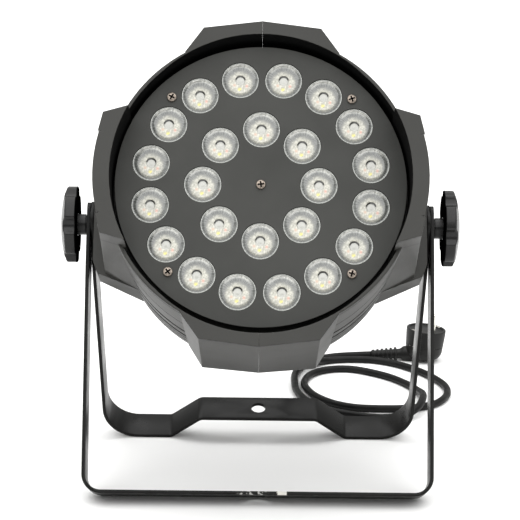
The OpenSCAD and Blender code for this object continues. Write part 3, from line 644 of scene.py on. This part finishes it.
def cross_head_material():
    """Nickel with a warm tarnish, and the cross recess painted near black and without reflection as painted
    shade.
    """
    s = Shader("face_screw_nickel")
    x, y, _ = s.axes()
    reach = s.length(x, y)
    arm = s.math("MINIMUM", s.math("ABSOLUTE", x), s.math("ABSOLUTE", y))
    # painted shade: the cross recess is made near black, not metallic and without reflection
    cross = s.math("MULTIPLY", s.step(arm, 0.00072, 0.00055), s.step(reach, 0.0029, 0.0025))
    tone = s.blend(s.step(s.noise(700.0, 4.0), 0.3, 0.7), (0.13, 0.108, 0.09), (0.33, 0.28, 0.235))
    # darker towards the edge of the head
    tone = s.blend(s.step(reach, 0.0031, 0.0038, 0.0, 0.75), tone, (0.03, 0.026, 0.022))
    tone = s.blend(cross, tone, (0.002, 0.002, 0.002))
    return s.finish(Base_Color=tone, Roughness=s.step(s.noise(900.0, 3.0), 0.3, 0.7, 0.3, 0.5),
                    Metallic=s.step(cross, 0.0, 1.0, 0.7, 0.0), Normal=s.bump(s.noise(2500.0), 0.1, 0.0001),
                    Specular_IOR_Level=s.step(cross, 0.0, 1.0, 0.5, 0.0))


CROSS_HEAD = cross_head_mesh()
CROSS_HEAD.materials.append(cross_head_material())
# distance from the middle, angle round it, and how far each screw happens to be turned
FACE_SCREWS = [(0, 0, 8)] + [(SCREW_RING_R, a, turn)
                             for a, turn in ((45, 20), (135, 62), (225, 38), (315, 75))]
for i, (r, a, turn) in enumerate(FACE_SCREWS):
    seat = in_head(r * math.cos(math.radians(a)), r * math.sin(math.radians(a)), PLATE_Z)
    screw = link("face_screw_%d" % (i + 1), CROSS_HEAD,
                 seat @ Matrix.Rotation(math.radians(turn), 4, "Z"))
    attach(screw, "head")
    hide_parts("face_screws")

# ---------------------------------------------------------------- knobs and studs


KNOB_X = 157.0
KNOB_R = 32.8
KNOB_TOP = 14.5


def knob_outline(angle):
    """Radius of the star knob's outline in mm at an angle, scallops cut out of a disc."""
    disc, bite, bite_at = KNOB_R, 7.4, 35.6
    near = (angle + math.pi / 6) % (math.pi / 3) - math.pi / 6
    inside = bite * bite - (bite_at * math.sin(near)) ** 2
    if inside <= 0:
        return disc
    cut = bite_at * math.cos(near) - math.sqrt(inside)
    # the corners between disc and scallop are eased
    return min(disc, cut) - 0.5 * math.exp(-((disc - cut) / 1.1) ** 2)


def knob_mesh(name):
    """Star knob along Z with rounded edges and a domed front, its seat at z = 0."""
    rise = 5.0
    dome_r = (KNOB_R ** 2 + rise ** 2) / (2 * rise)

    def dome(r):
        return KNOB_TOP - dome_r + math.sqrt(dome_r ** 2 - r ** 2)

    points = []
    sides = 216
    stem, rounding, under_rounding = 9.0, 1.8, 1.0
    rows = [("stem", -6.9), ("stem", -0.3), ("stem", 0.0)]
    rows += [("under", 0.5), ("under", 0.93)]
    rows += [("low", k) for k in range(5)]
    rows += [("high", k) for k in range(6)]
    rows += [("top", f) for f in (0.9, 0.75, 0.6, 0.45, 0.3, 0.15)]
    for kind, value in rows:
        for k in range(sides):
            a = 2 * math.pi * k / sides
            full = knob_outline(a)
            if kind == "stem":
                r, z = stem, value
            elif kind == "under":
                r, z = stem + (full - under_rounding - stem) * value, 0.0
            elif kind == "low":
                t = math.radians(90 * value / 4)
                r = full - under_rounding + under_rounding * math.sin(t)
                z = under_rounding - under_rounding * math.cos(t)
            elif kind == "high":
                t = math.radians(90 * value / 5)
                r = full - rounding + rounding * math.cos(t)
                # where a scallop cuts deep, the rounding meets the dome further in
                shoulder = dome(full) if full > 30 else dome(full - rounding)
                z = min(shoulder - rounding + rounding * math.sin(t), dome(r))
            else:
                r = (full - rounding) * value
                z = dome(r)
            points.append((r * MM * math.cos(a), r * MM * math.sin(a), z * MM))
    faces = bands(len(rows), sides)
    top = len(points)
    points.append((0, 0, KNOB_TOP * MM))
    for k in range(sides):
        faces.append([top - sides + k, top - sides + (k + 1) % sides, top])
    faces.append(list(range(sides))[::-1])
    return mesh_of(name, points, faces)


def side_place(side, out, turn):
    """Z points out of that side of the can at the pivot."""
    face = Matrix.Rotation(math.radians(90 * side), 4, "Y")
    return (Matrix.Translation((0, PIVOT_Y, PIVOT_Z)) @ face @ Matrix.Translation((0, 0, out * MM))
            @ Matrix.Rotation(math.radians(turn), 4, "Z"))


for side, label, turn in ((-1, "left", 11), (1, "right", 0)):
    knob = link(label + "_knob_star", knob_mesh(label + "_knob_star"), side_place(side, KNOB_X, 90 + turn))
    piece(knob, "knob_plastic", label + "_knob", label + "_knob")
    sharp_by_angle(knob.data, 60)

# ---------------------------------------------------------------- lead

CORD_R = 3.6
FLOOR = CORD_R
OUT = Vector((0, math.cos(math.radians(HEAD_TILT)), -math.sin(math.radians(HEAD_TILT))))
GLAND = HEAD @ Vector((28 * MM, -62 * MM, -70.2 * MM))
START = [v / MM for v in (GLAND - Vector((0, PIVOT_Y, 0)))]

# Route in mm from the foot of the pivot: fall from the gland, wide loop, small loop, plug
ROUTE = [
    START, [START[i] + 9 * OUT[i] for i in range(3)],
    [28, 52, 117], [28, 78, 102], [29, 106, 86], [30, 135, 70], [32, 165, 54], [34, 195, 39],
    [37, 225, 26], [42, 252, 15.5], [49, 275, 9], [58, 292, 5.4], [70, 304, 3.9], [90, 310, FLOOR],
    [117, 309, FLOOR], [140, 297, FLOOR], [160, 276, FLOOR], [176, 250, FLOOR], [186, 220, FLOOR],
    [184, 190, FLOOR], [170, 164, FLOOR], [147, 151, FLOOR], [120, 148, FLOOR], [92, 151, FLOOR],
    [70, 165, FLOOR], [54, 189, FLOOR], [46, 217, FLOOR], [47, 239, FLOOR], [54, 258, FLOOR],
    [68, 272, FLOOR], [86, 277, FLOOR], [104, 272, FLOOR], [130, 252, FLOOR], [148, 227, FLOOR],
    [157, 202, 5], [160, 179, 9], [158, 156, 11.2], [152, 137, 9], [139, 125, 5], [117, 121, FLOOR],
    [90, 128, FLOOR], [66, 143, FLOOR], [48, 168, FLOOR], [38, 200, FLOOR], [36, 230, FLOOR],
    [37, 258, FLOOR], [44, 285, FLOOR], [58, 307, FLOOR], [78, 320, FLOOR], [98, 322, 4.6],
    [117, 322, 5.6]]


def along(u):
    """Point at a place along the route, in metres."""
    i = min(int(u), len(ROUTE) - 2)
    t = u - i
    a, b, c, d = (Vector(ROUTE[max(0, min(len(ROUTE) - 1, i + k))]) for k in (-1, 0, 1, 2))
    p = 0.5 * (2 * b + (c - a) * t + (2 * a - 5 * b + 4 * c - d) * t * t
               + (3 * b - a - 3 * c + d) * t * t * t)
    return p * MM + Vector((0, PIVOT_Y, 0))


def lead_path(step=0.005):
    path = []
    for i in range(len(ROUTE) - 1):
        span = (Vector(ROUTE[i + 1]) - Vector(ROUTE[i])).length * MM
        count = max(1, round(span / step))
        path += [along(i + k / count) for k in range(count)]
    return path + [along(len(ROUTE) - 1)]


def above_floor(mesh):
    """Flattens whatever of a mesh dips under the floor it lies on."""
    for corner in mesh.vertices:
        corner.co.z = max(corner.co.z, 0.0001)


PATH = lead_path()
lead = link("power_cord_sheath", tube("power_cord_sheath", PATH, CORD_R * MM - 0.00002, 16))
above_floor(lead.data)
paint(lead, "cord_rubber")
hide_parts("power_cord")
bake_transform(lead)

# ---------------------------------------------------------------- plug

PLUG_X, PLUG_Y = 171.0, 322.0
PLUG_H = 33.0
PLUG = Matrix.Translation((PLUG_X * MM, PIVOT_Y + PLUG_Y * MM, 0))
BODY = PLUG @ Matrix.Translation((0, 0, 2 * MM)) @ Matrix.Rotation(math.radians(5), 4, "Y")
RELIEF = (PLUG @ Matrix.Translation((-54 * MM, 0, 5.6 * MM)) @ Matrix.Rotation(math.radians(90), 4, "Y")
          @ Matrix.Rotation(math.radians(-2.5), 4, "Y"))


def plug_body():
    return lathe("plug_shape", [
        (0, 0.2), (10, 0.2), (12.5, 0.9), (16, 3.2), (18.2, 6.6), (18.9, 9), (19.4, 15), (19.45, 15.2),
        (19.1, 15.4), (19.1, 15.9), (19.5, 16.1), (20.3, PLUG_H - 6), (20.4, PLUG_H - 4),
        (20.4, PLUG_H - 1.2), *edge_round(19.6, PLUG_H - 0.9, 0.8, 0, 90, 4), (17.8, PLUG_H - 0.1),
        (17.5, PLUG_H - 0.4), (17.4, PLUG_H - 1.3), (16.9, PLUG_H - 1.5), (6, PLUG_H - 1.5),
        (0, PLUG_H - 1.5)], 96)


def relief_body():
    """Tapered sleeve with six raised ribs that ends in the plug's shoulder."""
    profile = [(0, 0.1), (3.9, 0.1), (4.3, 0.5)]
    for i in range(6):
        z, r = 1 + i * 4.6, 5.2 + i * 0.36
        waist = 4.3 + 0.0333 * z
        profile += [(waist, z), (r - 0.3, z + 0.05), (r, z + 0.35), (r, z + 2.2), (r - 0.3, z + 2.5),
                    (waist, z + 2.55)]
    profile += [(5.4, 30), (6.0, 31.5), (7.4, 33), (8.0, 35), (8.4, 40), (8.4, 49)]
    return lathe("relief_shape", profile + [(0, 49)], 48)


plug = link("mains_plug_moulding", joined("mains_plug_moulding", [
    (plug_body(), BODY), (relief_body(), RELIEF)]))
above_floor(plug.data)
sharp_by_angle(plug.data, 50)
piece(plug, "plug_rubber", "rear_yoke", "mains_plug")


def at_plug_face(x, y, z):
    turned = Matrix.Rotation(math.radians(-50), 4, "Z")
    return BODY @ Matrix.Translation((0, 0, (PLUG_H - 1.4) * MM)) @ turned @ Matrix.Translation(
        (x * MM, y * MM, z * MM))


pin_shape = lathe("pin_shape", [
    (0, -6), (2.35, -6), (2.35, 8.4), (2.3, 8.5), (2.3, 8.9), (2.35, 9.0), (2.35, 16.9),
    *edge_round(0.95, 17.6, 1.4, 0, 90, 5), (0, 19)], 32)
pins = link("plug_pin_pair", joined("plug_pin_pair", [
    (pin_shape, at_plug_face(-9.5, 0, 0)), (pin_shape, at_plug_face(9.5, 0, 0))]))
sharp_by_angle(pins.data, 50)
piece(pins, "pin_nickel", "rear_yoke", "plug_pins")


def clip_mesh():
    """Sprung earth contact: a strip let into the plug's side that folds over its rim."""
    line = [(19.3, -16.0), (19.5, -14.0), (19.95, -6.0), (20.3, -1.0), (20.0, 0.9), (19.0, 1.36),
            (17.0, 1.36), (16.6, 0.9)]
    points, faces = [], []
    for thick in (0.0, 0.5):
        for r, z in line:
            for w in (-3.2, 3.2):
                bent = math.sqrt(max(r * r - w * w, 0.0)) - thick
                points.append((w * MM, bent * MM, (z - thick * 0.2) * MM))
    n = len(line)
    for i in range(n - 1):
        for layer in (0, 1):
            a = layer * 2 * n + 2 * i
            faces.append([a, a + 1, a + 3, a + 2])
        a, b = 2 * i, 2 * n + 2 * i
        faces.append([a, a + 2, b + 2, b])
        faces.append([a + 1, a + 3, b + 3, b + 1])
    faces.append([0, 1, 2 * n + 1, 2 * n])
    faces.append([2 * n - 2, 2 * n - 1, 4 * n - 1, 4 * n - 2])
    return mesh_of("earth_clip_shape", points, faces, False)


clip_shape = clip_mesh()
turned_back = at_plug_face(0, 0, 0) @ Matrix.Rotation(math.radians(180), 4, "Z")
clips = link("plug_earth_clips", joined("plug_earth_clips", [
    (clip_shape, at_plug_face(0, 0, 0)), (clip_shape, turned_back)]))
sharp_by_angle(clips.data, 35)
piece(clips, "pin_nickel", "rear_yoke")

# ---------------------------------------------------------------- floor and light


def floor_material():
    s = Shader("floor_pale")
    tone = s.blend(s.noise(3.0, 3.0), (0.86, 0.86, 0.855), (0.88, 0.88, 0.875))
    return s.finish(Base_Color=tone, Roughness=0.7)


def make_floor(half=6):
    points = [(-half, -half, 0), (half, -half, 0), (half, half, 0), (-half, half, 0)]
    floor = link("floor", mesh_of("floor", points, [[0, 1, 2, 3]], False))
    floor.data.materials.append(floor_material())
    return floor


def soft_light(name, spot, aim, size, power):
    data = bpy.data.lights.new(name, "AREA")
    data.size = size
    data.energy = power
    light = bpy.data.objects.new(name, data)
    light.location = spot
    light.rotation_euler = (Vector(aim) - Vector(spot)).to_track_quat("-Z", "Y").to_euler()
    COLLECTION.objects.link(light)
    return light


def soft_sky(name, tilt, turn, strength, spread):
    """Broad even light from above, like a large diffuser over the table."""
    data = bpy.data.lights.new(name, "SUN")
    data.energy = strength
    data.angle = math.radians(spread)
    light = bpy.data.objects.new(name, data)
    light.rotation_euler = (math.radians(tilt), 0, math.radians(turn))
    COLLECTION.objects.link(light)
    return light


def make_world():
    world = bpy.data.worlds.new("studio")
    bpy.context.scene.world = world
    world.use_nodes = True
    back = world.node_tree.nodes["Background"]
    back.inputs["Color"].default_value = (1.0, 1.0, 0.985, 1.0)
    back.inputs["Strength"].default_value = 0.64


make_world()
make_floor()
soft_sky("overhead", 12, 0, 4.3, 95)
soft_light("front_left", (-1.5, -1.8, 1.0), (0, 0, 0.15), 1.0, 5)
soft_light("front_right", (1.6, -1.5, 0.9), (0, 0, 0.15), 1.0, 4)
bpy.context.scene.view_settings.view_transform = "Standard"
